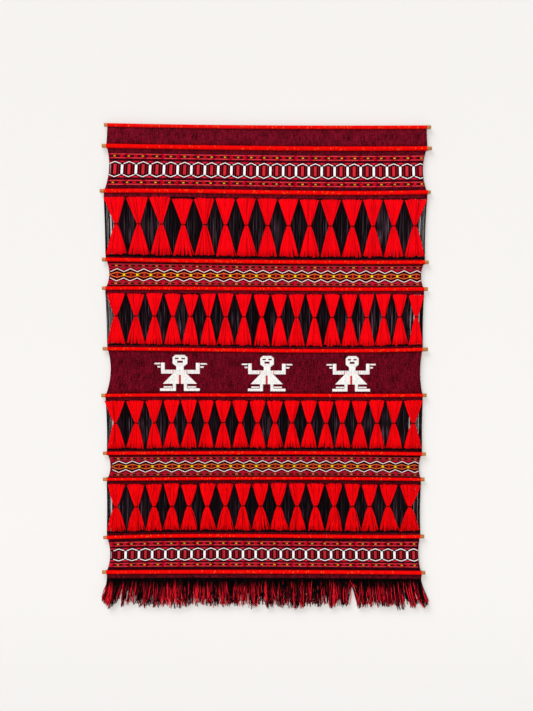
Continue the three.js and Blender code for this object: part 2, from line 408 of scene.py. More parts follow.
def joinStrands(name, unit, paths, wide, deep, dyes, across, finish, node=None):
    copies, stops = paths.shape[:2]
    middle = alongPath(unit, paths)
    tangent = unitVectors(alongPath(unit, np.gradient(paths, axis=1)))
    across = np.broadcast_to(across, (copies, 3))[:, None, :]
    side = unitVectors(across - (tangent * across).sum(-1, keepdims=True) * tangent)
    normal = np.cross(tangent, side)
    wide = alongPath(unit, np.broadcast_to(wide, (copies, stops)))[..., None]
    deep = alongPath(unit, np.broadcast_to(deep, (copies, stops)))[..., None]
    ring = unit["ring"]
    points = middle + side * wide * ring[None, :, :1] + normal * deep * ring[None, :, 1:]

    count = len(ring)
    loops = (unit["loops"][None] + np.arange(copies)[:, None] * count).ravel()
    sizes = np.tile(unit["sizes"], copies)
    mesh = bpy.data.meshes.new(name)
    mesh.vertices.add(copies * count)
    mesh.vertices.foreach_set("co", points.astype(np.float32).ravel())
    mesh.loops.add(len(loops))
    mesh.loops.foreach_set("vertex_index", loops.astype(np.int32))
    mesh.polygons.add(len(sizes))
    mesh.polygons.foreach_set("loop_start", np.concatenate([[0], sizes.cumsum()[:-1]]).astype(np.int32))
    mesh.polygons.foreach_set("use_smooth", np.ones(len(sizes), bool))
    mesh.update(calc_edges=True)

    dyes = np.broadcast_to(dyes[:, None] if dyes.ndim == 2 else dyes, (copies, stops, 3))
    colours = np.concatenate([alongPath(unit, dyes), np.ones((copies, count, 1))], 2)
    mesh.color_attributes.new("dye", "FLOAT_COLOR", "POINT").data.foreach_set("color", colours.ravel())
    length = np.linalg.norm(np.diff(paths, axis=1), axis=2).sum(1)
    yarnU = unit["along"][unit["loops"]][None] * length[:, None] / mm
    yarnV = np.broadcast_to(unit["around"], yarnU.shape)
    mesh.uv_layers.new(name="yarn").uv.foreach_set("vector", np.stack([yarnU, yarnV], -1).ravel())
    cells = bakeCells(unit, copies, length.mean() / (math.pi * (wide.mean() + deep.mean())))
    mesh.uv_layers.new(name="OFBake").uv.foreach_set("vector", cells.ravel())
    return addPiece(name, mesh, finish, node)


def addPiece(name, mesh, finish, node=None):
    material, slot = finish
    piece = bpy.data.objects.new(name, mesh)
    bpy.context.scene.collection.objects.link(piece)
    mesh.materials.append(material)
    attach(piece, "root")
    if node:
        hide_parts(node)
    return piece


def toMesh(shape, name):
    mesh = bpy.data.meshes.new(name)
    shape.to_mesh(mesh)
    shape.free()
    return mesh


# Camera, first, so that every piece is judged from the photo's angle

camera = {"lens": 100, "pixels": 711, "mmAPixel": 1.32, "aim": (0.7 * mm, -301.6 * mm), "sensor": 36}


def makeCamera():
    lens = bpy.data.cameras.new("front_camera")
    lens.lens, lens.sensor_width = camera["lens"], camera["sensor"]
    eye = bpy.data.objects.new("front_camera", lens)
    frameHeight = camera["pixels"] * camera["mmAPixel"] * mm
    eye.location = (camera["aim"][0], -frameHeight * camera["lens"] / camera["sensor"], camera["aim"][1])
    eye.rotation_euler = (math.pi / 2, 0, 0)
    bpy.context.scene.collection.objects.link(eye)
    bpy.context.scene.camera = eye


makeCamera()


# Bamboo sticks, bare at both ends

bamboo = {
    "radius": 2.28 * mm, "sides": 16, "steps": 14, "edge": 0.35 * mm,
    "taper": 0.05, "knot": 0.12 * mm, "knotTurns": 23,
}


def makeStick(number, rung):
    shape = bmesh.new()
    radius, length = bamboo["radius"], rung["right"] - rung["left"]
    bmesh.ops.create_cone(shape, cap_ends=True, segments=bamboo["sides"], radius1=radius, radius2=radius,
                          depth=length)
    rims = [e for e in shape.edges if abs(e.verts[0].co.z - e.verts[1].co.z) < 1e-6]
    bmesh.ops.bevel(shape, geom=rims, offset=bamboo["edge"], affect="EDGES", segments=2, profile=0.5,
                    material=-1)
    rails = [e for e in shape.edges if abs(e.verts[0].co.z - e.verts[1].co.z) > length / 2]
    bmesh.ops.subdivide_edges(shape, edges=rails, cuts=bamboo["steps"] - 1, use_grid_fill=True)
    lean, phase = rng.uniform(-1, 1), rng.uniform(0, 6)
    for vert in shape.verts:
        x = vert.co.z + (rung["left"] + rung["right"]) / 2
        share = vert.co.z / length
        knot = bamboo["knot"] / radius * math.sin(share * bamboo["knotTurns"] + phase)
        swell = 1 + bamboo["taper"] * lean * share + knot
        vert.co = (x, vert.co.x * swell, rungZ(rung, x) - vert.co.y * swell)
    bmesh.ops.recalc_face_normals(shape, faces=shape.faces[:])
    for face in shape.faces:
        face.smooth = len(face.verts) == 4
    name = f"bamboo_stick_{number:02d}"
    return addPiece(name, toMesh(shape, name), bambooWood, f"stick_{number:02d}")


stickPieces = [makeStick(n + 1, rung) for n, rung in enumerate(rungs[:11])]
print("bamboo sticks:", len(stickPieces))


# Red warps floating over each stick

covers = {
    "pitch": 1.0 * mm, "wide": 0.62 * mm, "deep": 0.26 * mm, "orbit": 2.44 * mm, "tuck": 0.9 * mm,
    "stray": 0.2 * mm, "loft": (-0.1 * mm, 0.03 * mm), "topDrop": 0.1 * mm, "shade": (0.88, 1.04),
    "flecks": 0.11, "fleckStops": (2, 5), "fleckTint": (0.3, 0.9), "ends": [0, 1, -2, -1], "endShade": 4,
    "turns": [92, 60, 29, 0, -29, -60, -92], "topTurns": [150, 105, 62, 22, -20, -60, -92],
}
coverReach = [0.98, 1.2, 1.11, 1.02, 0.96, 0.95, 0.88, 0.9, 0.79, 0.96, 1.05]  # share of a stick that is red
coverUnit = strandUnit(4, 6)


def coverPath(rung, x, isTop, reach):  # over the front of a stick and back in behind it
    turns = np.radians(covers["topTurns"] if isTop else covers["turns"])
    paths = np.empty((len(x), len(turns), 3))
    paths[:, :, 0] = x[:, None]
    paths[:, :, 1] = -covers["orbit"] * np.cos(turns)
    paths[:, :, 2] = covers["orbit"] * np.sin(turns) * max(1, reach) + rungZ(rung, x)[:, None]
    paths[:, -1, 1] += covers["tuck"]
    if isTop:
        paths[:, :, 2] -= covers["topDrop"]
    else:
        paths[:, 0, 1] += covers["tuck"]
    return paths


def makeCover(number, rung):
    count = round(clothWidth(rung) / covers["pitch"])
    x = np.linspace(rung["clothLeft"] + covers["wide"], rung["clothRight"] - covers["wide"], count)
    reach, stray = coverReach[number - 1], covers["stray"]
    paths = coverPath(rung, x + scattered(count, -stray, stray), number == 1, reach)
    stops = paths.shape[1]
    paths[:, :, 0] += scattered((count, 1), -stray, stray) * np.linspace(-1, 1, stops)
    paths[:, :, 1] += scattered((count, 1), *covers["loft"])
    isFleck = (rng.random(count) < covers["flecks"])[:, None]
    spot = np.abs(np.arange(stops) - rng.integers(*covers["fleckStops"], (count, 1))) < 1
    tint = (isFleck & spot)[..., None] * scattered((count, 1, 1), *covers["fleckTint"])
    shade = scattered((count, 1, 1), *covers["shade"])
    colours = blend(yarnDyes["coverRed"], yarnDyes["fleck"], tint) * shade
    sunk = max(0, 1 - reach) * covers["endShade"]  # the ends of the shorter floats are painted dark: the cloth closing over them, and painted shade
    colours[:, covers["ends"]] = blend(colours[:, covers["ends"]], yarnDyes["shadow"], sunk)
    name, node = f"stick_floats_{number:02d}", f"stick_cover_{number:02d}"
    wide, deep = covers["wide"], covers["deep"]
    return joinStrands(name, coverUnit, paths, wide, deep, colours, acrossX, coverYarn, node)


coverPieces = [makeCover(n + 1, rung) for n, rung in enumerate(rungs[:11])]
print("floats over the sticks:", len(coverPieces))


# Woven sheets: each runs behind its sticks and ends where the open warps start

weave = {
    "columns": 72, "step": 2.2 * mm, "crisp": 0.08 * mm, "topRise": 1.2 * mm, "hemDrop": 0.35 * mm,
    "mmAcross": 420, "stretchFrom": 7.0,  # mm as charted
}
patternBands = {  # charted height and middle, repeats and how uneven they are, stretch outside the figures
    1: {"kind": "hexagons", "height": 58.1, "middle": 0.519, "repeats": 23.63, "start": 0.072, "shade": 1.0,
        "uneven": (0.0093, 0.0053), "stretch": (1.0, 1.0), "bar": "barRed"},
    3: {"kind": "zigzags", "height": 35.5, "middle": 0.531, "repeats": 23.97, "start": -0.111, "shade": 1.03,
        "uneven": (0.0087, 0.0007), "stretch": (1.12, 0.88)},
    7: {"kind": "zigzags", "height": 35.5, "middle": 0.52, "repeats": 24.03, "start": -0.182, "shade": 0.85,
        "uneven": (0.0073, 0.0021), "stretch": (1.0, 1.0)},
    9: {"kind": "hexagons", "height": 58.1, "middle": 0.511, "repeats": 24.05, "start": -0.176, "shade": 0.82,
        "uneven": (0.0068, 0.0028), "stretch": (1.06, 0.94), "bar": "dullRed", "outside": "shadow"},
}
plainDyes = {0: "maroon", 5: "deepMaroon", 10: "hem"}
zones = {  # distance from the middle of a pattern band, in mm as charted, to the next change of dye
    "hexagons": [(11.2, "wine"), (13.8, "dark"), (20.4, "wine"), (99, "selvage")],
    "zigzags": [(3.9, "garnet"), (8.4, "ruby"), (13.3, "wine"), (99, "shadow")],
}
openEdges = [  # how far the bundles stop short, the strip above the lower stick, how dark both strips are
    {"top": 0.6 * mm, "foot": 0.45 * mm, "strip": 4.4 * mm, "shade": (1.0, 1.15)},
    {"top": 0.55 * mm, "foot": 0.7 * mm, "strip": 5.05 * mm, "shade": (0.93, 1.1)},
    {"top": 1.1 * mm, "foot": 0.9 * mm, "strip": 4.55 * mm, "shade": (0.75, 0.75)},
    {"top": 0.45 * mm, "foot": 1.2 * mm, "strip": 5.2 * mm, "shade": (0.57, 0.9)},
]
sheets = [
    {"name": "woven_top", "bands": [0, 1, 2], "sticks": [1, 2, 3]},
    {"name": "woven_upper", "bands": [2, 3, 4], "sticks": [4, 5]},
    {"name": "woven_middle", "bands": [4, 5, 6], "sticks": [6, 7]},
    {"name": "woven_lower", "bands": [6, 7, 8], "sticks": [8, 9]},
    {"name": "woven_bottom", "bands": [8, 9, 10], "sticks": [10, 11]},
]
lastV = 9  # past the end of any band


def chartPlace(band, h):  # the v of a charted height above the middle
    pattern = patternBands[band]
    beyond = np.maximum(np.abs(h) - weave["stretchFrom"], 0)
    factor = np.where(np.asarray(h) > 0, *pattern["stretch"])
    return pattern["middle"] - np.sign(h) * (np.abs(h) - beyond + beyond * factor) / pattern["height"]


def dyeEdges(band):  # the v at which a band's dye changes, and the dye down to there
    if band in patternBands:
        rings = zones[patternBands[band]["kind"]]
        upper = [(chartPlace(band, rings[n - 1][0]), rings[n][1]) for n in range(len(rings) - 1, 0, -1)]
        lower = [(chartPlace(band, -reach), name) for reach, name in rings]
        outside = patternBands[band].get("outside", rings[-1][1])
        upper[0] = (upper[0][0], outside)
        lower[-1] = (lastV, outside)
        return [(float(v), name) for v, name in upper + lower]
    if band in openBands:
        strip = openEdges[openBands.index(band)]["strip"]
        return [(0.5, "strip"), (1 - strip / bandHeight(band), "black"), (lastV, "strip")]
    return [(lastV, plainDyes[band])]


def zoneDye(band, v):
    name = next(name for edge, name in dyeEdges(band) if v < edge)
    if band in patternBands:
        return yarnDyes[name] * patternBands[band]["shade"]
    isShaded = band in openBands and name == "strip"
    return yarnDyes[name] * (openEdges[openBands.index(band)]["shade"][int(v > 0.5)] if isShaded else 1)


def bandRows(band, start, end):  # rows down a band, doubled where the dye changes
    height = bandHeight(band)
    count = max(3, math.ceil((end - start) * height / weave["step"]))
    rows = list(np.linspace(start, end, count + 1))
    for edge, _ in dyeEdges(band):
        if start < edge < end:
            rows += [edge - weave["crisp"] / height, edge + weave["crisp"] / height]
    return [(band, v) for v in sorted(rows)]


def openSpan(band):  # where the bundles of an open band start and end, as v
    number = openBands.index(band)
    row, edges, height = bundles[number], openEdges[number], bandHeight(band)
    return (row["below"] + edges["top"]) / height, 1 - (row["above"] + edges["foot"]) / height


def sheetRows(sheet):
    first, *_, last = sheet["bands"]
    rows = []
    for band in sheet["bands"]:
        start, end = 0, 1
        if band == first:
            start = -weave["topRise"] / bandHeight(band) if band == 0 else openSpan(band)[1]
        if band == last:
            end = openSpan(band)[0] if band in openBands else 1 + weave["hemDrop"] / bandHeight(band)
        rows += bandRows(band, start, end)[0 if band == first else 1:]
    return rows


def makeSheet(sheet):
    rows, columns = sheetRows(sheet), weave["columns"]
    shape = bmesh.new()
    bmesh.ops.create_grid(shape, x_segments=columns, y_segments=len(rows) - 1, size=0.5)
    dyeLayer = shape.verts.layers.float_color.new("dye")
    uvLayer = shape.loops.layers.uv.new("weave")
    lines = [clothPoint(band, np.linspace(0, 1, columns + 1), v) for band, v in rows]
    middles = np.array([line[columns // 2] for line in lines])
    down = np.concatenate([[0], np.linalg.norm(np.diff(middles, axis=0), axis=1).cumsum()])
    place = {}
    for vert in shape.verts:
        column = round((vert.co.x + 0.5) * columns)
        row = round((0.5 - vert.co.y) * (len(rows) - 1))
        place[vert] = (column / columns * weave["mmAcross"], down[row] / mm)
        vert.co = lines[row][column]
        vert[dyeLayer] = (*zoneDye(*rows[row]), 1)
    for face in shape.faces:
        face.smooth = True
        for loop in face.loops:
            loop[uvLayer].uv = place[loop.vert]
    bmesh.ops.recalc_face_normals(shape, faces=shape.faces[:])
    piece = addPiece(sheet["name"], toMesh(shape, sheet["name"]), maroonWeave, "ground_cloth")
    thick = piece.modifiers.new("thickness", "SOLIDIFY")
    thick.thickness, thick.offset = cloth["thickness"], 0
    width = np.mean([np.ptp(line[:, 0]) for line in lines])
    sheet["flat"] = (float(width), float(down[-1]))
    return piece


sheetPieces = [makeSheet(sheet) for sheet in sheets]
print("woven sheets:", [tuple(round(x, 3) for x in s["flat"]) for s in sheets])


# Loose black warps behind the bundles

warps = {
    "deep": 0.42 * mm, "stops": 7, "overlap": 1 * mm, "stray": 0.22 * mm, "loft": (-0.4 * mm, 0.6 * mm),
    "span": (0.004, 0.996), "limits": (0.001, 0.999),  # shares of the width
    "edge": 15 * mm, "edgeSpread": (0.5, 1.3), "steadyEdge": 60,  # thinner and straighter near the edges
    "cord": np.array([0.3, 1.1, 2.1, 3.3]) * mm,  # a few warps stay together along each edge
    "clump": 1.3 * mm, "clumpWaves": [(410, 1, 0.6), (1130, 2, 0.4)],  # radians a metre, start, share
}
warpLayers = [
    {"pitch": 1.0 * mm, "wide": 0.52 * mm, "jitter": 0.4, "clumped": 1, "behind": 0.2 * mm,
     "shade": (0.3, 1.5), "reachesEdges": True},
    # the back layer is painted darker: shade behind the front warps
    {"pitch": 1.1 * mm, "wide": 0.832 * mm, "jitter": 0.15, "clumped": 0.25, "behind": 1.1 * mm,
     "shade": (0.2, 0.6), "reachesEdges": False},
]
warpRows = [  # share left at the edges, how loose the cords at left and right are, how much painted sheen
    {"keep": 0.42, "loose": (1.0, 1.4), "paintedSheen": 1.0},
    {"keep": 0.45, "loose": (1.5, 1.0), "paintedSheen": 1.0},
    {"keep": 0.42, "loose": (1.5, 1.2), "paintedSheen": 0.9},
    {"keep": 0.6, "loose": (1.1, 1.2), "paintedSheen": 0.65},
]
# where the painted sheen lies on the black warps
warpSheen = {"most": 1.3, "all": 0.5, "patches": 1.1, "coarse": 61, "fine": 143, "sides": 1.4, "sideAt": 0.37,
            "sideWidth": 0.08, "lower": 1.4}
warpUnit = strandUnit(4, 6)


def warpPaths(number, band, layer):
    row, width, stops = warpRows[number], clothWidth(rungs[band]), warps["stops"]
    count = round(width / layer["pitch"])
    jitter = scattered(count, -layer["jitter"], layer["jitter"]) / count
    u = (np.linspace(*warps["span"], count) + jitter).clip(*warps["limits"])
    fromEdge = np.minimum(u, 1 - u) * width
    isDense = fromEdge > warps["edge"] * scattered(count, *warps["edgeSpread"])
    if layer["reachesEdges"]:
        isKept = np.arange(count) * row["keep"] % 1 < row["keep"]  # evenly thinned towards the edges
        left, right = [warps["cord"] * loose / width for loose in row["loose"]]
        u = np.concatenate([left, u[isDense | isKept], 1 - right])
    else:
        u = u[isDense]
    start, end = openSpan(band)
    overlap = warps["overlap"] / bandHeight(band)
    paths = clothPoint(band, u[:, None], np.linspace(start - overlap, end + overlap, stops)[None])
    bend = np.sin(np.pi * np.linspace(0, 1, stops))
    x = paths[:, 0, 0]
    clump = sum(np.sin(x * wave + start * number) * share for wave, start, share in warps["clumpWaves"])
    inside = np.clip(np.minimum(u, 1 - u) * warps["steadyEdge"], 0, 1)
    paths[:, :, 0] += (clump * warps["clump"] * inside)[:, None] * bend * layer["clumped"]
    paths[:, :, 0] += scattered((len(u), stops), -warps["stray"], warps["stray"]) * inside[:, None]
    paths[:, :, 1] += scattered((len(u), 1), *warps["loft"]) * bend + layer["behind"]
    return paths


def paintedSheenShare(number, band, paths):  # painted sheen: greyer in places, in patches and towards the sides
    x, stops = paths[:, :1, 0], paths.shape[1]
    paintedSheen = scattered((len(paths), stops), 0, 1) ** 3 * scattered((len(paths), 1), 0, warpSheen["most"]) ** 2
    side = np.abs(x - paths[:, :, 0].mean()) / clothWidth(rungs[band])
    patch = 0.5 + 0.5 * np.sin(x * warpSheen["coarse"] + 2.4 * number) * np.sin(x * warpSheen["fine"] - number)
    atSide = np.exp(-((side - warpSheen["sideAt"]) / warpSheen["sideWidth"]) ** 2)
    paintedSheen *= warpSheen["all"] + warpSheen["patches"] * patch ** 2 + warpSheen["sides"] * atSide
    down = np.sin(np.pi * np.linspace(0, 1, stops) ** warpSheen["lower"])  # painted sheen, most just below the middle and fading to nothing at both ends
    return (paintedSheen * down * warpRows[number]["paintedSheen"] ** 2)[..., None]


def makeWarps(number, band):
    layers = [warpPaths(number, band, layer) for layer in warpLayers]
    sized = [(len(paths), layer) for paths, layer in zip(layers, warpLayers)]
    paths = np.concatenate(layers)
    wide = np.concatenate([np.full(count, layer["wide"]) for count, layer in sized])[:, None]
    shade = np.concatenate([scattered(count, *layer["shade"]) for count, layer in sized])[:, None, None]
    # painted sheen is blended into the black warps
    colours = blend(yarnDyes["black"] * shade, yarnDyes["paintedSheen"], paintedSheenShare(number, band, paths))
    name, node = f"open_warps_{number + 1}", "ground_cloth"
    return joinStrands(name, warpUnit, paths, wide, warps["deep"], colours, acrossX, blackYarn, node)


warpPieces = [makeWarps(n, band) for n, band in enumerate(openBands)]
print("open black warps:", len(warpPieces))


# Red warps tied into hourglass bundles

bundle = {
    "strands": 40, "stops": 9, "tufts": 5, "wide": 0.47 * mm, "deep": 0.4 * mm, "thinned": 0.3,
    "belly": 1.0 * mm, "lift": 0.9 * mm, "waist": 1.75 * mm, "flat": 0.7 * mm, "puff": 0.6 * mm,
    "rounded": 0.9 * mm, "outerFoot": 0.4, "leanFades": 0.65, "dull": (0.12, 0.6), "shade": (0.88, 1.04),
    "tuftEdge": 0.3, "squeezes": [0.3, 1.0, 2.6], "waistStray": 0.8 * mm,
    "topStray": 0.3 * mm, "topRagged": (-0.9 * mm, 0.7 * mm), "topShift": (-0.8 * mm, 0.5 * mm),
    "footStray": 2 * mm, "footRagged": (-0.8 * mm, 0.9 * mm), "tuftRagged": (-0.9 * mm, 0.9 * mm),
}
bundleRows = [  # curve of the sides above and below the tie, ruffling, tufts, inset of the corners
    {"upper": 1.0, "lower": 0.86, "ruffle": 0.14, "tufts": 0.16, "top": 1.0 * mm, "foot": 0.9 * mm,
     "outer": (-0.2, 0.2), "topLean": 2.8 * mm, "sunk": {3: 1.5 * mm}, "dye": dye(248, 4, 18)},
    {"upper": 0.95, "lower": 0.84, "ruffle": 0.16, "tufts": 0.18, "top": 1.4 * mm, "foot": 0.8 * mm,
     "outer": (1.7, 0.1), "topLean": 0, "sunk": {3: 0.6 * mm, 4: 1.2 * mm}, "dye": dye(247, 4, 16)},
    {"upper": 0.9, "lower": 0.82, "ruffle": 0.22, "tufts": 0.2, "top": 1.2 * mm, "foot": 1.0 * mm,
     "outer": (-0.9, 0.2), "topLean": 0.5 * mm, "sunk": {}, "dye": dye(243, 4, 13)},
    {"upper": 0.84, "lower": 0.72, "ruffle": 0.55, "tufts": 0.24, "top": 1.4 * mm, "foot": 1.2 * mm,
     "outer": (0.7, 0.2), "topLean": 0, "sunk": {}, "dye": dye(239, 4, 11)},
]
bundleUnit = strandUnit(4, 8)


def bundlePaths(number, row, n, top, foot):  # top and foot are this bundle's left and right corners
    shape, band, edges = bundleRows[number], openBands[number], openEdges[number]
    each, stops, tufts = bundle["strands"], bundle["stops"], bundle["tufts"]
    order = (np.arange(each) + 0.5) / each
    fromMiddle = 2 * order - 1
    tuft = np.floor(order * tufts + rng.uniform(-bundle["tuftEdge"], bundle["tuftEdge"]))
    own = tuft.astype(int) + 1
    isFirst, isLast = n == 0, n == len(row["centres"]) - 1
    squeeze = shape["tufts"] * rng.choice(bundle["squeezes"], tufts + 2)[own]
    squeeze *= 0 if isFirst or isLast else 1
    outerLeft, outerRight = shape["outer"]
    outerFoot = bundle["outerFoot"]
    top = top + shape["top"] * np.array([outerLeft if isFirst else 1, outerRight if isLast else -1])
    foot = foot + shape["foot"] * np.array([outerFoot if isFirst else 1, -outerFoot if isLast else -1])
    footWidth = foot[1] - foot[0]
    tuftShift = (tuft / tufts + 0.1 - order) * squeeze * footWidth
    topX = top[0] + (top[1] - top[0]) * order + scattered(each, -bundle["topStray"], bundle["topStray"])
    footX = foot[0] + footWidth * order
    footX += scattered(each, -1, 1) * shape["ruffle"] * bundle["footStray"]
    topZ = rungZ(rungs[band], topX) - row["below"] - edges["top"] + scattered(each, *bundle["topRagged"])
    topZ += rng.uniform(*bundle["topShift"]) - shape["sunk"].get(n, 0)
    topZ -= np.abs(fromMiddle) ** 4 * bundle["rounded"]
    footZ = rungZ(rungs[band + 1], footX) + row["above"] + edges["foot"]
    footZ += scattered(each, *bundle["footRagged"])
    footZ += scattered(tufts + 2, *bundle["tuftRagged"])[own]
    waistZ = row["waistZ"][n] + rng.uniform(-bundle["waistStray"], bundle["waistStray"])
    waistX = row["centres"][n] + fromMiddle * bundle["waist"]
    roundness = np.sqrt(np.maximum(0, 1 - fromMiddle ** 2))
    waistY = -bundle["lift"] - scattered(each, -1, 1) * roundness * bundle["belly"]
    paths = np.empty((each, stops, 3))
    half = stops // 2 + 1
    upper = np.linspace(0, 1, half)  # from the top edge down to the waist
    lower = upper[1:]  # and on down to the foot
    paths[:, :half, 0] = waistX[:, None] + (topX - waistX)[:, None] * (1 - upper) ** shape["upper"]
    paths[:, :half, 2] = topZ[:, None] + (waistZ - topZ)[:, None] * upper
    paths[:, half:, 0] = waistX[:, None] + (footX - waistX)[:, None] * lower ** shape["lower"]
    paths[:, half:, 0] += tuftShift[:, None] * lower ** 5
    paths[:, half:, 2] = waistZ + (footZ - waistZ)[:, None] * lower
    depth = np.concatenate([upper, 1 - lower])
    paths[:, :, 1] = -bundle["flat"] + (waistY + bundle["flat"])[:, None] * depth ** 0.8
    paths[:, :, 1] -= scattered((each, 1), 0, 1) * bundle["puff"] * np.sin(np.pi * np.linspace(0, 1, stops))
    paths[:, :, 0] += scattered((each, stops), -1, 1) * shape["ruffle"] * mm * (1 - depth) ** 0.5
    thinned = 1 - bundle["thinned"] * depth ** 4
    return paths, bundle["wide"] * np.broadcast_to(thinned, (each, stops))


def makeBundles(number, band):
    row, shape = bundles[number], bundleRows[number]
    joints = (row["centres"][1:] + row["centres"][:-1]) / 2
    topEnds, footEnds = [clothPoint(band, np.array([0.0, 1.0]), v)[:, 0] for v in openSpan(band)]
    leaning = shape["topLean"] * bundle["leanFades"] ** np.arange(len(joints))
    top = np.concatenate([topEnds[:1], joints - leaning, topEnds[1:]])
    foot = np.concatenate([footEnds[:1], joints, footEnds[1:]])
    made = [bundlePaths(number, row, n, top[n:n + 2], foot[n:n + 2]) for n in range(len(row["centres"]))]
    paths, wide = [np.concatenate(part) for part in zip(*made)]
    dullShare, dullShade = bundle["dull"]
    shade = np.where(rng.random((len(paths), 1)) < dullShare, dullShade, 1)
    colours = shape["dye"] * (shade * scattered((len(paths), 1), *bundle["shade"]))
    deep = wide * (bundle["deep"] / bundle["wide"])
    name, node = f"tied_bundles_{number + 1}", f"tied_floats_{number + 1}"
    return joinStrands(name, bundleUnit, paths, wide, deep, colours, acrossX, redYarn, node)


bundlePieces = [makeBundles(n, band) for n, band in enumerate(openBands)]
print("tied bundles:", len(bundlePieces))


# Dark threads around the waists

ties = {"radius": 0.36 * mm, "turns": 2, "spacing": 1.6, "wide": 2.2 * mm, "deep": 1.75 * mm, "tilt": 0.25,
        "from": 200, "to": -20, "stops": 11, "shade": (0.2, 0.8)}
tieUnit = strandUnit(4, 10)


def makeTies(number):
    row, radius = bundles[number], ties["radius"]
    angles = np.radians(np.linspace(ties["from"], ties["to"], ties["stops"]))
    x = np.cos(angles) * ties["wide"]
    y = -bundle["lift"] - np.sin(angles) * ties["deep"]
    paths = []
    for centre, z in zip(row["centres"], row["waistZ"]):
        for turn in range(ties["turns"]):
            tilt = rng.uniform(-ties["tilt"], ties["tilt"])
            height = z + (turn - 0.5) * radius * ties["spacing"] + x * tilt
            paths.append(np.stack([centre + x, y, height], -1))
    colours = yarnDyes["dark"] * scattered((len(paths), 1), *ties["shade"])
    name = f"waist_ties_{number + 1}"
    return joinStrands(name, tieUnit, np.array(paths), radius, radius, colours, acrossZ, patternYarn)


tiePieces = [makeTies(n) for n in range(len(openBands))]
print("waist ties:", len(tiePieces))


# Brocade: short floats laid on the cloth, charted for one repeat and run across the band

brocade = {
    "repeats": 25, "pitch": 17.3, "lift": 0.4 * mm, "deep": 0.32 * mm, "margin": (0.0015, 0.001),
    "stops": np.array([0, 0.12, 0.88, 1]), "rise": np.array([-0.3, 0.6, 0.6, -0.3]),
    "taper": np.array([0.8, 1, 1, 0.8]), "stitches": 4, "stitch": 4.7, "stray": 0.08 * mm,
    "shade": (0.74, 1.04), "whiteShade": (0.95, 1.02), "firstBar": 0.0043,  # share of the width
}
floatUnit = strandUnit(4, 3, math.pi / 4)


class Chart:
    def __init__(self, band):
        self.band, self.pattern, self.floats = band, patternBands[band], []

    def across(self, s):  # the u of a place counted in repeats; the weaver's repeats are not quite even
        wave = np.pi * s / (brocade["repeats"] - 1)
        first, second = self.pattern["uneven"]
        even = (s - self.pattern["start"]) / self.pattern["repeats"]
        return even + first * np.sin(wave) + second * np.sin(2 * wave)

    def lay(self, s, h, length, colour, width=1.1, lean=0.0, lift=0.0):  # level; h in mm up from the middle
        half = length / 2 / brocade["pitch"]
        self.floats.append((s - half, h - lean / 2, s + half, h + lean / 2, width, lift, colour))

    def stand(self, s, low, high, colour, width=1.1, lift=0.0):  # upright
        self.floats.append((s, low, s, high, width, lift, colour))

    def row(self, s, spacing, low, high, colour, width, lift=0.0):  # uprights side by side, spacing in mm
        for offset in spacing:
            self.stand(s + offset / brocade["pitch"], low, high, colour, width, lift)

    def slope(self, s, side, reach, low, high, steps, colour, width, lift=0.0):  # stepped, from a side to s
        for step in range(steps):
            share = (step + 0.5) / steps
            length = abs(reach) * brocade["pitch"] / steps + 0.35
            lean = side * -1.1 * (high - low) / steps
            place, h = s + side * reach * (1 - share), low + (high - low) * share
            self.lay(place, h, length, colour, width, lean, lift)

    def weftLine(self, h, colour, width):  # a twined weft line, a few slanting stitches to each repeat
        each = brocade["stitches"]
        for n in range(-each, brocade["repeats"] * each):
            self.lay((n + 0.5) / each, h, brocade["stitch"], colour if n % 5 else "crimson", width, 0.2)

    def weave(self, name):
        table = np.array([f[:6] for f in self.floats], float)
        colours = np.array([yarnDyes[f[6]] for f in self.floats])
        u = self.across(table[:, [0, 2]])
        outer, inner = brocade["margin"]
        isOnCloth = (u.mean(1) > outer) & (u.mean(1) < 1 - outer)
        u, table, colours = u[isOnCloth].clip(inner, 1 - inner), table[isOnCloth], colours[isOnCloth]
        across = blend(u[:, :1], u[:, 1:], brocade["stops"])
        h = blend(table[:, 1:2], table[:, 3:4], brocade["stops"])
        paths = clothPoint(self.band, across, chartPlace(self.band, h))
        count = (len(paths), 1)
        paths[:, :, 1] -= cloth["thickness"] / 2 + brocade["lift"] * brocade["rise"]
        paths[:, :, 1] -= table[:, 5:6] * mm + scattered(count, -brocade["stray"], brocade["stray"])
        wide = table[:, 4:5] / 2 * mm * brocade["taper"]
        isUpright = np.abs(u[:, 1] - u[:, 0]) < 1e-6
        turned = np.where(isUpright[:, None], acrossX, acrossZ)
        isWhite, shade = colours.min(1, keepdims=True) > 0.9, self.pattern["shade"]
        uneven = scattered(count, *brocade["shade"]) * shade
        colours *= np.where(isWhite, scattered(count, *brocade["whiteShade"]) * min(1, shade) ** 0.5, uneven)
        return joinStrands(name, floatUnit, paths, wide, brocade["deep"], colours, turned, patternYarn)


hexagonStripes = [  # distance from a white bar, half height, width and dye
    (2.45, 6.5, 1.4, "black"), (3.6, 7.0, 1.0, "wine"), (4.5, 7.3, 1.0, "ruby"),
    (5.5, 7.7, 1.2, "black"), (6.4, 7.9, 0.8, "dark"),
]
hexagonLines = (-19.7, -14.7, 14.7, 19.7)  # mm up from the middle
zigzagLines = (-12.65, -9.4, 9.4, 12.65)


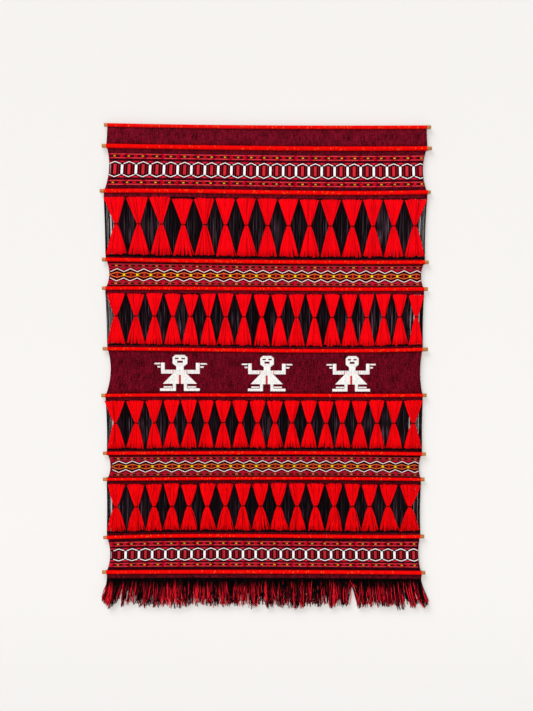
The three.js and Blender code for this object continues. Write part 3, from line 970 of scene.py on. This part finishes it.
def hexagonBrocade(name, band):
    chart, pitch = Chart(band), brocade["pitch"]
    for n in range(brocade["repeats"]):
        s = n + 0.5
        if n:
            chart.row(n, (-0.95, 0, 0.95), -6.8, 6.4, "white", 1.15, 0.15)
        chart.row(s, (-1.15, 0, 1.15), -6.9, 6.9, chart.pattern["bar"], 1.25)
        for side in (-1, 1):
            for offset, reach, width, colour in hexagonStripes:
                chart.stand(n + side * offset / pitch, -reach, reach, colour, width)
            for up in (-1, 1):  # white outline from the bars to the points
                chart.slope(s, side, 6.9 / pitch, up * 7.1, up * 9.9, 2, "white", 1.0, 0.3)
                chart.lay(n + side * 2.6 / pitch, up * 9.9, 1.9, "crimson", 1.6)
                chart.lay(n + side * 0.285, up * 17.2, 4.0, "dark", 2.2)
        for up in (-1, 1):
            chart.lay(s, up * 8.1, 4.6, "black", 1.6, 0, 0.1)
            chart.lay(s, up * 12.1, 5.4, "black", 1.4, 0, 0.1)
            chart.lay(n, up * 7.4, 2.9, "black", 1.1 + 0.3 * up, 0, 0.3 + 0.15 * up)
            chart.lay(n, up * 9.9, 3.4, "lens", 1.8, 0, 0.1)
            chart.lay(s, up * 17.2, 2.7, "gold", 1.7, 0, 0.2)
            chart.lay(n, up * 17.2, 3.9, "square", 2.2, 0, 0.1)
    first = chart.pattern["start"] + brocade["firstBar"] * chart.pattern["repeats"]
    chart.stand(first, -6.2, 6.2, "ash", 1.0, 0.15)  # the first bar is cut off by the edge
    for h in hexagonLines:
        chart.weftLine(h, "lineRed", 1.4)
    return chart.weave(name)


def zigzagBrocade(name, band):
    chart = Chart(band)
    for n in range(brocade["repeats"]):
        s = n + 0.5
        chart.row(n, (-0.95, 0, 0.95), -1.5, 1.5, "yellow" if n else "copper", 1.05, 0.25)
        chart.row(s, (-0.5, 0.5), -2.1, 2.1, "ember", 1.0)
        for side in (-1, 1):
            for up in (-1, 1):  # white zigzag, near at the dots and far between them, dark inside it
                chart.slope(s, side, 0.5, up * 3.9, up * 7.7, 3, "white", 0.72, 0.3)
                chart.slope(s, side, 0.42, up * 2.9, up * 5.2, 3, "black", 1.3)
                chart.slope(s, side, 0.42, up * 1.2, up * 3.3, 3, "orange", 0.9, 0.1)
                chart.lay(n + side * 0.25, up * 11.05, 4.0, "shadow", 1.8)
            chart.lay(n + side * 0.22, 0, 3.2, "black", 1.5)
        for up in (-1, 1):
            chart.lay(n, up * 5.9, 3.2, "black", 1.3, 0, 0.1)
            chart.lay(s, up * 5.5, 4.4, "black", 1.4, 0, 0.1)
            chart.lay(n, up * 7.5, 3.6, "crimson", 1.7)
            chart.lay(s, up * 11.05, 3.2, "copper" if n % 3 else "amber", 1.7)
            chart.lay(n, up * 11.05, 4.2, "crimson", 1.8)
    for h in zigzagLines:
        chart.weftLine(h, "salmon", 1.0)
    return chart.weave(name)


hungWith = {
    "woven_top": [hexagonBrocade("hexagon_brocade_top", 1)],
    "woven_upper": [zigzagBrocade("zigzag_brocade_upper", 3)],
    "woven_lower": [zigzagBrocade("zigzag_brocade_lower", 7)],
    "woven_bottom": [hexagonBrocade("hexagon_brocade_bottom", 9)],
}
print("brocade bands:", len(hungWith))


# Three white figures in the middle band, filled with level floats

figure = {
    "pitch": 0.92, "width": 0.9, "deep": 0.24 * mm, "longest": 6.5, "inset": 0.32, "band": 5, "middle": 0.516,
    "lift": 0.15 * mm, "trimLift": 0.2 * mm, "trunk": 10, "shoulders": 4.1, "hips": -1, "headHalf": 15,
    "stops": np.array([0, 0.08, 0.92, 1]), "rise": np.array([-0.5, 1, 1, -0.5]),
    "taper": np.array([0.85, 1, 1, 0.85]), "shade": (0.88, 0.99),
}
figurePlaces = [  # mm across; shift and width of the head, stretch of either arm and of all below the arms
    {"x": -113.5, "head": (0.1, 1.0), "left": 1.03, "right": 1.12, "below": 1.06},
    {"x": 1.03, "head": (0.5, 0.91), "left": 1.0, "right": 1.04, "below": 1.0},
    {"x": 112.6, "head": (1.3, 0.87), "left": 0.99, "right": 0.975, "below": 1.0},
]
figureParts = [  # heights and half widths in mm from the figure's middle, the same on both sides
    {"part": "crown", "top": 23.4, "low": 20.4, "inner": (0, 0), "outer": (6.2, 10.1)},
    {"part": "face", "top": 20.4, "low": 12.2, "inner": (0, 0), "outer": (10.1, 10.1)},
    {"part": "chin", "top": 12.2, "low": 8.35, "inner": (0, 0), "outer": (10.2, 4.9)},
    {"part": "neck", "top": 8.35, "low": 4.1, "inner": (0, 0), "outer": (5.1, 5.1)},
    {"part": "arms", "top": 4.1, "low": -0.9, "inner": (0, 0), "outer": (24.8, 24.8)},
    {"part": "forearm", "top": 13.2, "low": 4.1, "inner": (19.5, 19.5), "outer": (24.8, 24.8)},
    {"part": "long finger", "top": 13.0, "low": 11.0, "inner": (24.8, 24.8), "outer": (32.6, 33.8)},
    {"part": "short finger", "top": 9.0, "low": 6.8, "inner": (24.8, 24.8), "outer": (29.8, 29.0)},
    {"part": "skirt", "top": -0.9, "low": -14.0, "inner": (0, 0), "outer": (8.9, 21.6)},
    {"part": "leg", "top": -14.0, "low": -19.9, "inner": (4.6, 4.6), "outer": (9.2, 9.2)},
    {"part": "short foot", "top": -17.0, "low": -19.1, "inner": (9.2, 9.2), "outer": (20.5, 20.5)},
    {"part": "long foot", "top": -19.9, "low": -23.2, "inner": (4.6, 4.6), "outer": (25.1, 25.1)},
]
figureGaps = [  # plain openings for the eyes and mouth
    {"top": 19.8, "low": 17.7, "inner": 2.0, "outer": 6.5},
    {"top": 15.9, "low": 13.0, "inner": -3.3, "outer": 3.3},
]
figureSash = {"top": -2.4, "low": -14.0, "half": 0.95, "stitches": 4, "stitch": 3.1, "sides": (-0.4, 0.4)}
figureSleeve = {"top": 3.8, "low": -0.7, "sides": (-9.1, 9.1)}


def figureSpans(part, height):
    share = (part["top"] - height) / (part["top"] - part["low"])
    inner, outer = blend(*part["inner"], share), blend(*part["outer"], share)
    spans = [(-outer, outer)] if inner == 0 else [(inner, outer), (-outer, -inner)]
    holes = [(g["inner"], g["outer"]) for g in figureGaps if g["low"] < height < g["top"]]
    holes += [(-b, -a) for a, b in holes if a > 0]
    if part["part"] == "skirt" and figureSash["low"] < height < figureSash["top"]:
        holes.append((-figureSash["half"], figureSash["half"]))
    for low, high in holes:
        cuts = [cut for a, b in spans for cut in ((a, min(b, low)), (max(a, high), b))]
        spans = [(a, b) for a, b in cuts if b - a > 0.3]
    return spans


def figureFloats():  # left x, right x, low h, high h and dye, for one figure
    floats, inset = [], figure["inset"]
    for part in figureParts:
        count = max(2, round((part["top"] - part["low"]) / figure["pitch"]))
        step = (part["top"] - part["low"]) / count
        for n in range(count):
            height = part["top"] - (n + 0.5) * step
            for low, high in figureSpans(part, height):
                pieces = max(1, round((high - low) / figure["longest"]))
                cuts = np.linspace(low + inset, high - inset, pieces + 1)
                floats += [(a, b, height, height, "white") for a, b in zip(cuts[:-1], cuts[1:])]
    for h in np.linspace(figureSash["low"], figureSash["top"], figureSash["stitches"] + 1)[:-1]:
        floats += [(x, x, h, h + figureSash["stitch"], "barRed") for x in figureSash["sides"]]
    low, top = figureSleeve["low"], figureSleeve["top"]
    return floats + [(x, x, low, top, "lineRed") for x in figureSleeve["sides"]]


def placeAcross(band, x, v):  # the u at which a band is at x
    left, right = [clothPoint(band, 0.0 * v + end, v)[..., 0] for end in (0, 1)]
    return (x - left) / (right - left)


def figurePlaced(place, x, h):  # a figure's own width of head, reach of arms and width below them
    rightArm = np.maximum(x - figure["trunk"], 0) * (place["right"] - 1)
    leftArm = np.minimum(x + figure["trunk"], 0) * (place["left"] - 1)
    shift, headWidth = place["head"]
    isHead = (h > figure["shoulders"]) & (np.abs(x) < figure["headHalf"])
    upper = np.where(isHead, x * headWidth + shift, x + rightArm + leftArm)
    return (place["x"] + np.where(h < figure["hips"], x * place["below"], upper)) * mm


def makeFigures():
    floats = figureFloats()
    table = np.array([f[:4] for f in floats])
    isUpright = table[:, 0] == table[:, 1]
    x = blend(table[:, :1], table[:, 1:2], figure["stops"])
    h = blend(table[:, 2:3], table[:, 3:4], figure["stops"])
    band = figure["band"]
    v = figure["middle"] - h / (bandHeight(band) / mm)
    allPaths = []
    for place in figurePlaces:
        paths = clothPoint(band, placeAcross(band, figurePlaced(place, x, h), v), v)
        paths[:, :, 1] -= cloth["thickness"] / 2 + figure["lift"] * figure["rise"]
        paths[:, :, 1] -= np.where(isUpright, figure["trimLift"], 0)[:, None]
        allPaths.append(paths)
    paths, copies = np.concatenate(allPaths), (len(figurePlaces), 1)
    colours = np.tile(np.array([yarnDyes[f[4]] for f in floats]), copies)
    colours *= scattered((len(paths), 1), *figure["shade"])
    turned = np.tile(np.where(isUpright[:, None], acrossX, acrossZ), copies)
    wide = figure["width"] / 2 * mm * figure["taper"]
    return joinStrands("woven_figures", floatUnit, paths, wide, figure["deep"], colours, turned, patternYarn)


hungWith["woven_middle"] = [makeFigures()]
print("woven figures:", len(figurePlaces))


# Fringe: cut warp ends in loose locks

fringe = {
    "band": 10, "strands": 2000, "locks": 80, "stops": 7, "wide": 0.52 * mm, "thinned": 0.3, "flat": 0.85,
    "length": (34 * mm, 41 * mm), "ownLength": (0.82, 1.03), "splay": (7.4 * mm, 10.4 * mm), "gather": 0.3,
    "behindEvery": 4, "outerEvery": 28, "outerReach": 0.022, "outerRed": (0.7, 0.3), "rootRise": 1.5 * mm,
    "part": 113.3 * mm, "partWidth": 5 * mm, "partSpread": 8 * mm, "partFrom": 0.3, "fromLock": 0.35,
    "crossing": 0.2, "crossLength": (13 * mm, 19 * mm), "crossLean": (3 * mm, 7 * mm), "leanCurve": 1.6,
    "longer": (2.2 * mm, 1.4 * mm, 1.0 * mm),  # everywhere, more at right, more at left
    "wander": (1.0 * mm, 2.0 * mm, 1.5 * mm), "gatherShortens": 1.2,  # of a lock, of an end, a lock's most
    "behindShort": (0.15, 0.6), "behindLength": (0.7, 0.95), "behind": 1.0 * mm, "rootBehind": 0.4 * mm,
    "sway": (1.2, 3.0), "curl": 1.0 * mm, "stray": 0.3 * mm, "shade": (0.5, 1.35), "rootShadeEnds": (0.12, 0.45),
    "out": (0.8 * mm, 0.9 * mm), "outward": 0.6 * mm, "outLimits": (-2.8 * mm, 1.4 * mm),
}
fringeDyes = np.array([dye(246, 24, 44), dye(122, 8, 24), dye(14, 7, 10)])
fringeShares = [0.24, 0.18, 0.58]
fringeUnit = strandUnit(4, 6)


def fringeRoots():  # places across, with an even layer behind the locks, painted black as shade, and more ends at either side
    order = np.arange(fringe["strands"])
    u = np.sort(rng.random(fringe["strands"]))
    isBehind, isOuter = order % fringe["behindEvery"] == 0, order % fringe["outerEvery"] == 1
    u[isBehind] = np.linspace(0.001, 0.999, isBehind.sum())
    outer = isOuter.sum()
    u[isOuter] = np.abs((np.arange(outer) % 2) - scattered(outer, 0, fringe["outerReach"]))
    return u, isBehind, isOuter


def fringeLocks(u):
    locks = fringe["locks"]
    loose = np.sort(rng.random(locks - 1) * 0.5 + np.linspace(0, 1, locks - 1) * 0.5)
    return np.searchsorted(np.linspace(0, 1, locks + 1)[1:-1] * 0.6 + loose * 0.4, u)


def fringeColours(lock, u, isBehind, isOuter, t):
    count, locks = len(u), fringe["locks"]
    lockDye = rng.choice(3, locks * 3, p=fringeShares)[lock * 3 + rng.integers(0, 3, count)]
    ownDye = rng.choice(3, count, p=fringeShares)
    # the strands behind the locks are all black: painted shade behind the fringe
    kind = np.where(isBehind, 2, np.where(rng.random(count) < fringe["fromLock"], lockDye, ownDye))
    kind = np.where(isOuter & (rng.random(count) < np.where(u < 0.5, *fringe["outerRed"])), 0, kind)
    colours = fringeDyes[kind] * scattered((count, 1), *fringe["shade"])
    bare = np.clip((t - scattered((count, 1), *fringe["rootShadeEnds"])) * 5, 0, 1)  # painted shade: the strands are darkened to near black next to the cloth, under the hem
    return colours[:, None] * (0.01 + 0.99 * bare)[..., None]


def makeFringe():
    count, locks, stops = fringe["strands"], fringe["locks"], fringe["stops"]
    u, isBehind, isOuter = fringeRoots()
    root = clothPoint(fringe["band"], u, np.full(count, 1.0))
    lock = fringeLocks(u)
    lockMiddle = np.bincount(lock, root[:, 0], locks) / np.maximum(np.bincount(lock, None, locks), 1)
    gather = lockMiddle[lock] - root[:, 0]
    splay = np.where(u < 0.5, *fringe["splay"]) * (2 * u - 1) ** 5
    inside = 1 - np.abs(2 * u - 1) ** 6
    lockWander, ownWander, most = fringe["wander"]
    wander = rng.normal(0, lockWander, locks).clip(-most, most)[lock] + rng.normal(0, ownWander, count)
    lean = splay + (wander + gather * fringe["gather"]) * inside
    length = scattered(locks, *fringe["length"])[lock] * scattered(count, *fringe["ownLength"])
    longer, atRight, atLeft = fringe["longer"]
    length += longer + atRight * np.clip(4 * u - 2, 0, 1) + atLeft * np.clip(1 - 20 * u, 0, 1)
    length -= np.abs(gather) * fringe["gatherShortens"]
    shortShare, shortest = fringe["behindShort"]
    isShort = rng.random(locks) < shortShare
    short = np.where(isShort, shortest, scattered(locks, *fringe["behindLength"]))[lock]
    length *= np.where(isBehind, short, 1)
    lean = np.where(isBehind, splay * short ** fringe["leanCurve"], lean)
    fromPart = root[:, 0] - fringe["part"]
    parted = np.sign(fromPart) * np.exp(-(fromPart / fringe["partWidth"]) ** 2)
    isNear = np.abs(fromPart) < fringe["partWidth"]
    isCrossing = isNear & (rng.random(count) < fringe["crossing"])  # short ends that curl across the parting
    length = np.where(isCrossing, scattered(count, *fringe["crossLength"]), length)
    lean = np.where(isCrossing, -np.sign(fromPart) * scattered(count, *fringe["crossLean"]), lean)
    t = np.linspace(0, 1, stops)
    paths = np.empty((count, stops, 3))
    sway = np.pi * t * scattered((count, 1), *fringe["sway"]) + scattered((count, 1), 0, 6)
    curl = np.where(isBehind, 0, rng.normal(0, fringe["curl"], count))[:, None] * np.sin(sway) * t
    stray = rng.normal(0, fringe["stray"], (count, stops)) * t
    paths[:, :, 0] = root[:, :1] + lean[:, None] * t ** fringe["leanCurve"] + curl + stray
    opening = np.clip((t - fringe["partFrom"]) / (1 - fringe["partFrom"]), 0, 1)
    opening = opening * np.where(isCrossing, 0, fringe["partSpread"])[:, None]
    paths[:, :, 0] += parted[:, None] * opening
    lockOut, ownOut = fringe["out"]
    out = (rng.normal(0, lockOut, locks)[lock] + rng.normal(0, ownOut, count))[:, None] * t
    out = np.clip(out - fringe["outward"] * t, *fringe["outLimits"]) + fringe["rootBehind"]
    paths[:, :, 1] = root[:, 1:2] + np.where(isBehind[:, None], fringe["behind"] * t, out)
    paths[:, :, 2] = root[:, 2:3] + fringe["rootRise"] - length[:, None] * t
    colours = fringeColours(lock, u, isBehind, isOuter, t)
    wide = fringe["wide"] * (1 - fringe["thinned"] * t)
    deep = fringe["flat"] * wide
    return joinStrands("fringe_ends", fringeUnit, paths, wide, deep, colours, acrossX, fringeYarn, "fringe")


hungWith["woven_bottom"].append(makeFringe())
print("fringe strands:", fringe["strands"])


# Pale wall and floor, soft light from the upper left

studio = {
    "wallY": 6 * mm, "floorZ": -0.95, "size": 8.0, "world": 0.14, "worldTint": (1, 0.99, 0.975, 1),
    "floor": (0.9, 0.89, 0.87, 1), "wall": (0.812, 0.797, 0.781, 1),
}
studioSuns = [  # strength, width and turn in degrees: a key, a fill from the front and one for the back
    {"name": "soft_key", "power": 1.7, "width": 40, "turn": (44, 0, -30), "tint": (0.96, 1, 1.04)},
    {"name": "front_fill", "power": 1.68, "width": 20, "turn": (86, 0, -4), "tint": (1.03, 1, 0.965)},
    {"name": "back_fill", "power": 1.2, "width": 20, "turn": (90, 0, 180), "tint": (1, 1, 1)},
]


def stagePlane(name, finish):
    shape = bmesh.new()
    bmesh.ops.create_grid(shape, x_segments=1, y_segments=1, size=studio["size"] / 2)
    mesh = toMesh(shape, name)
    plane = bpy.data.objects.new(name, mesh)
    mesh.materials.append(finish.material)
    bpy.context.scene.collection.objects.link(plane)
    return plane


def makeFloor():
    paint = Finish("pale_floor", **{"Base Color": studio["floor"], "Roughness": 0.9})
    stagePlane("floor", paint).location.z = studio["floorZ"]


def makeWall():  # seen from the front only
    paint = Finish("pale_wall", **{"Base Color": studio["wall"], "Roughness": 1.0, "Specular IOR Level": 0.0})
    clear = paint.node("ShaderNodeBsdfTransparent")
    behind = paint.node("ShaderNodeNewGeometry", {}, {}, 6)
    front = Wire(paint, paint.shader.outputs[0])
    oneSided = paint.node("ShaderNodeMixShader", {}, {0: behind, 1: front, 2: clear})
    paint.plug(paint.tree.nodes["Material Output"].inputs["Surface"], oneSided)
    wall = stagePlane("wall", paint)
    wall.location.y = studio["wallY"]
    wall.rotation_euler = (math.pi / 2, 0, 0)
    wall.visible_diffuse = wall.visible_glossy = wall.visible_shadow = False


def makeLight():
    world = bpy.data.worlds.new("soft_room")
    bpy.context.scene.world = world
    world.use_nodes = True
    sky = world.node_tree.nodes["Background"].inputs
    sky["Color"].default_value, sky["Strength"].default_value = studio["worldTint"], studio["world"]
    for sun in studioSuns:
        light = bpy.data.lights.new(sun["name"], "SUN")
        light.energy, light.angle, light.color = sun["power"], math.radians(sun["width"]), sun["tint"]
        lamp = bpy.data.objects.new(sun["name"], light)
        lamp.rotation_euler = [math.radians(a) for a in sun["turn"]]
        bpy.context.scene.collection.objects.link(lamp)
    bpy.context.scene.view_settings.view_transform = "Standard"


makeFloor()
makeWall()
makeLight()
print("stage and light made")
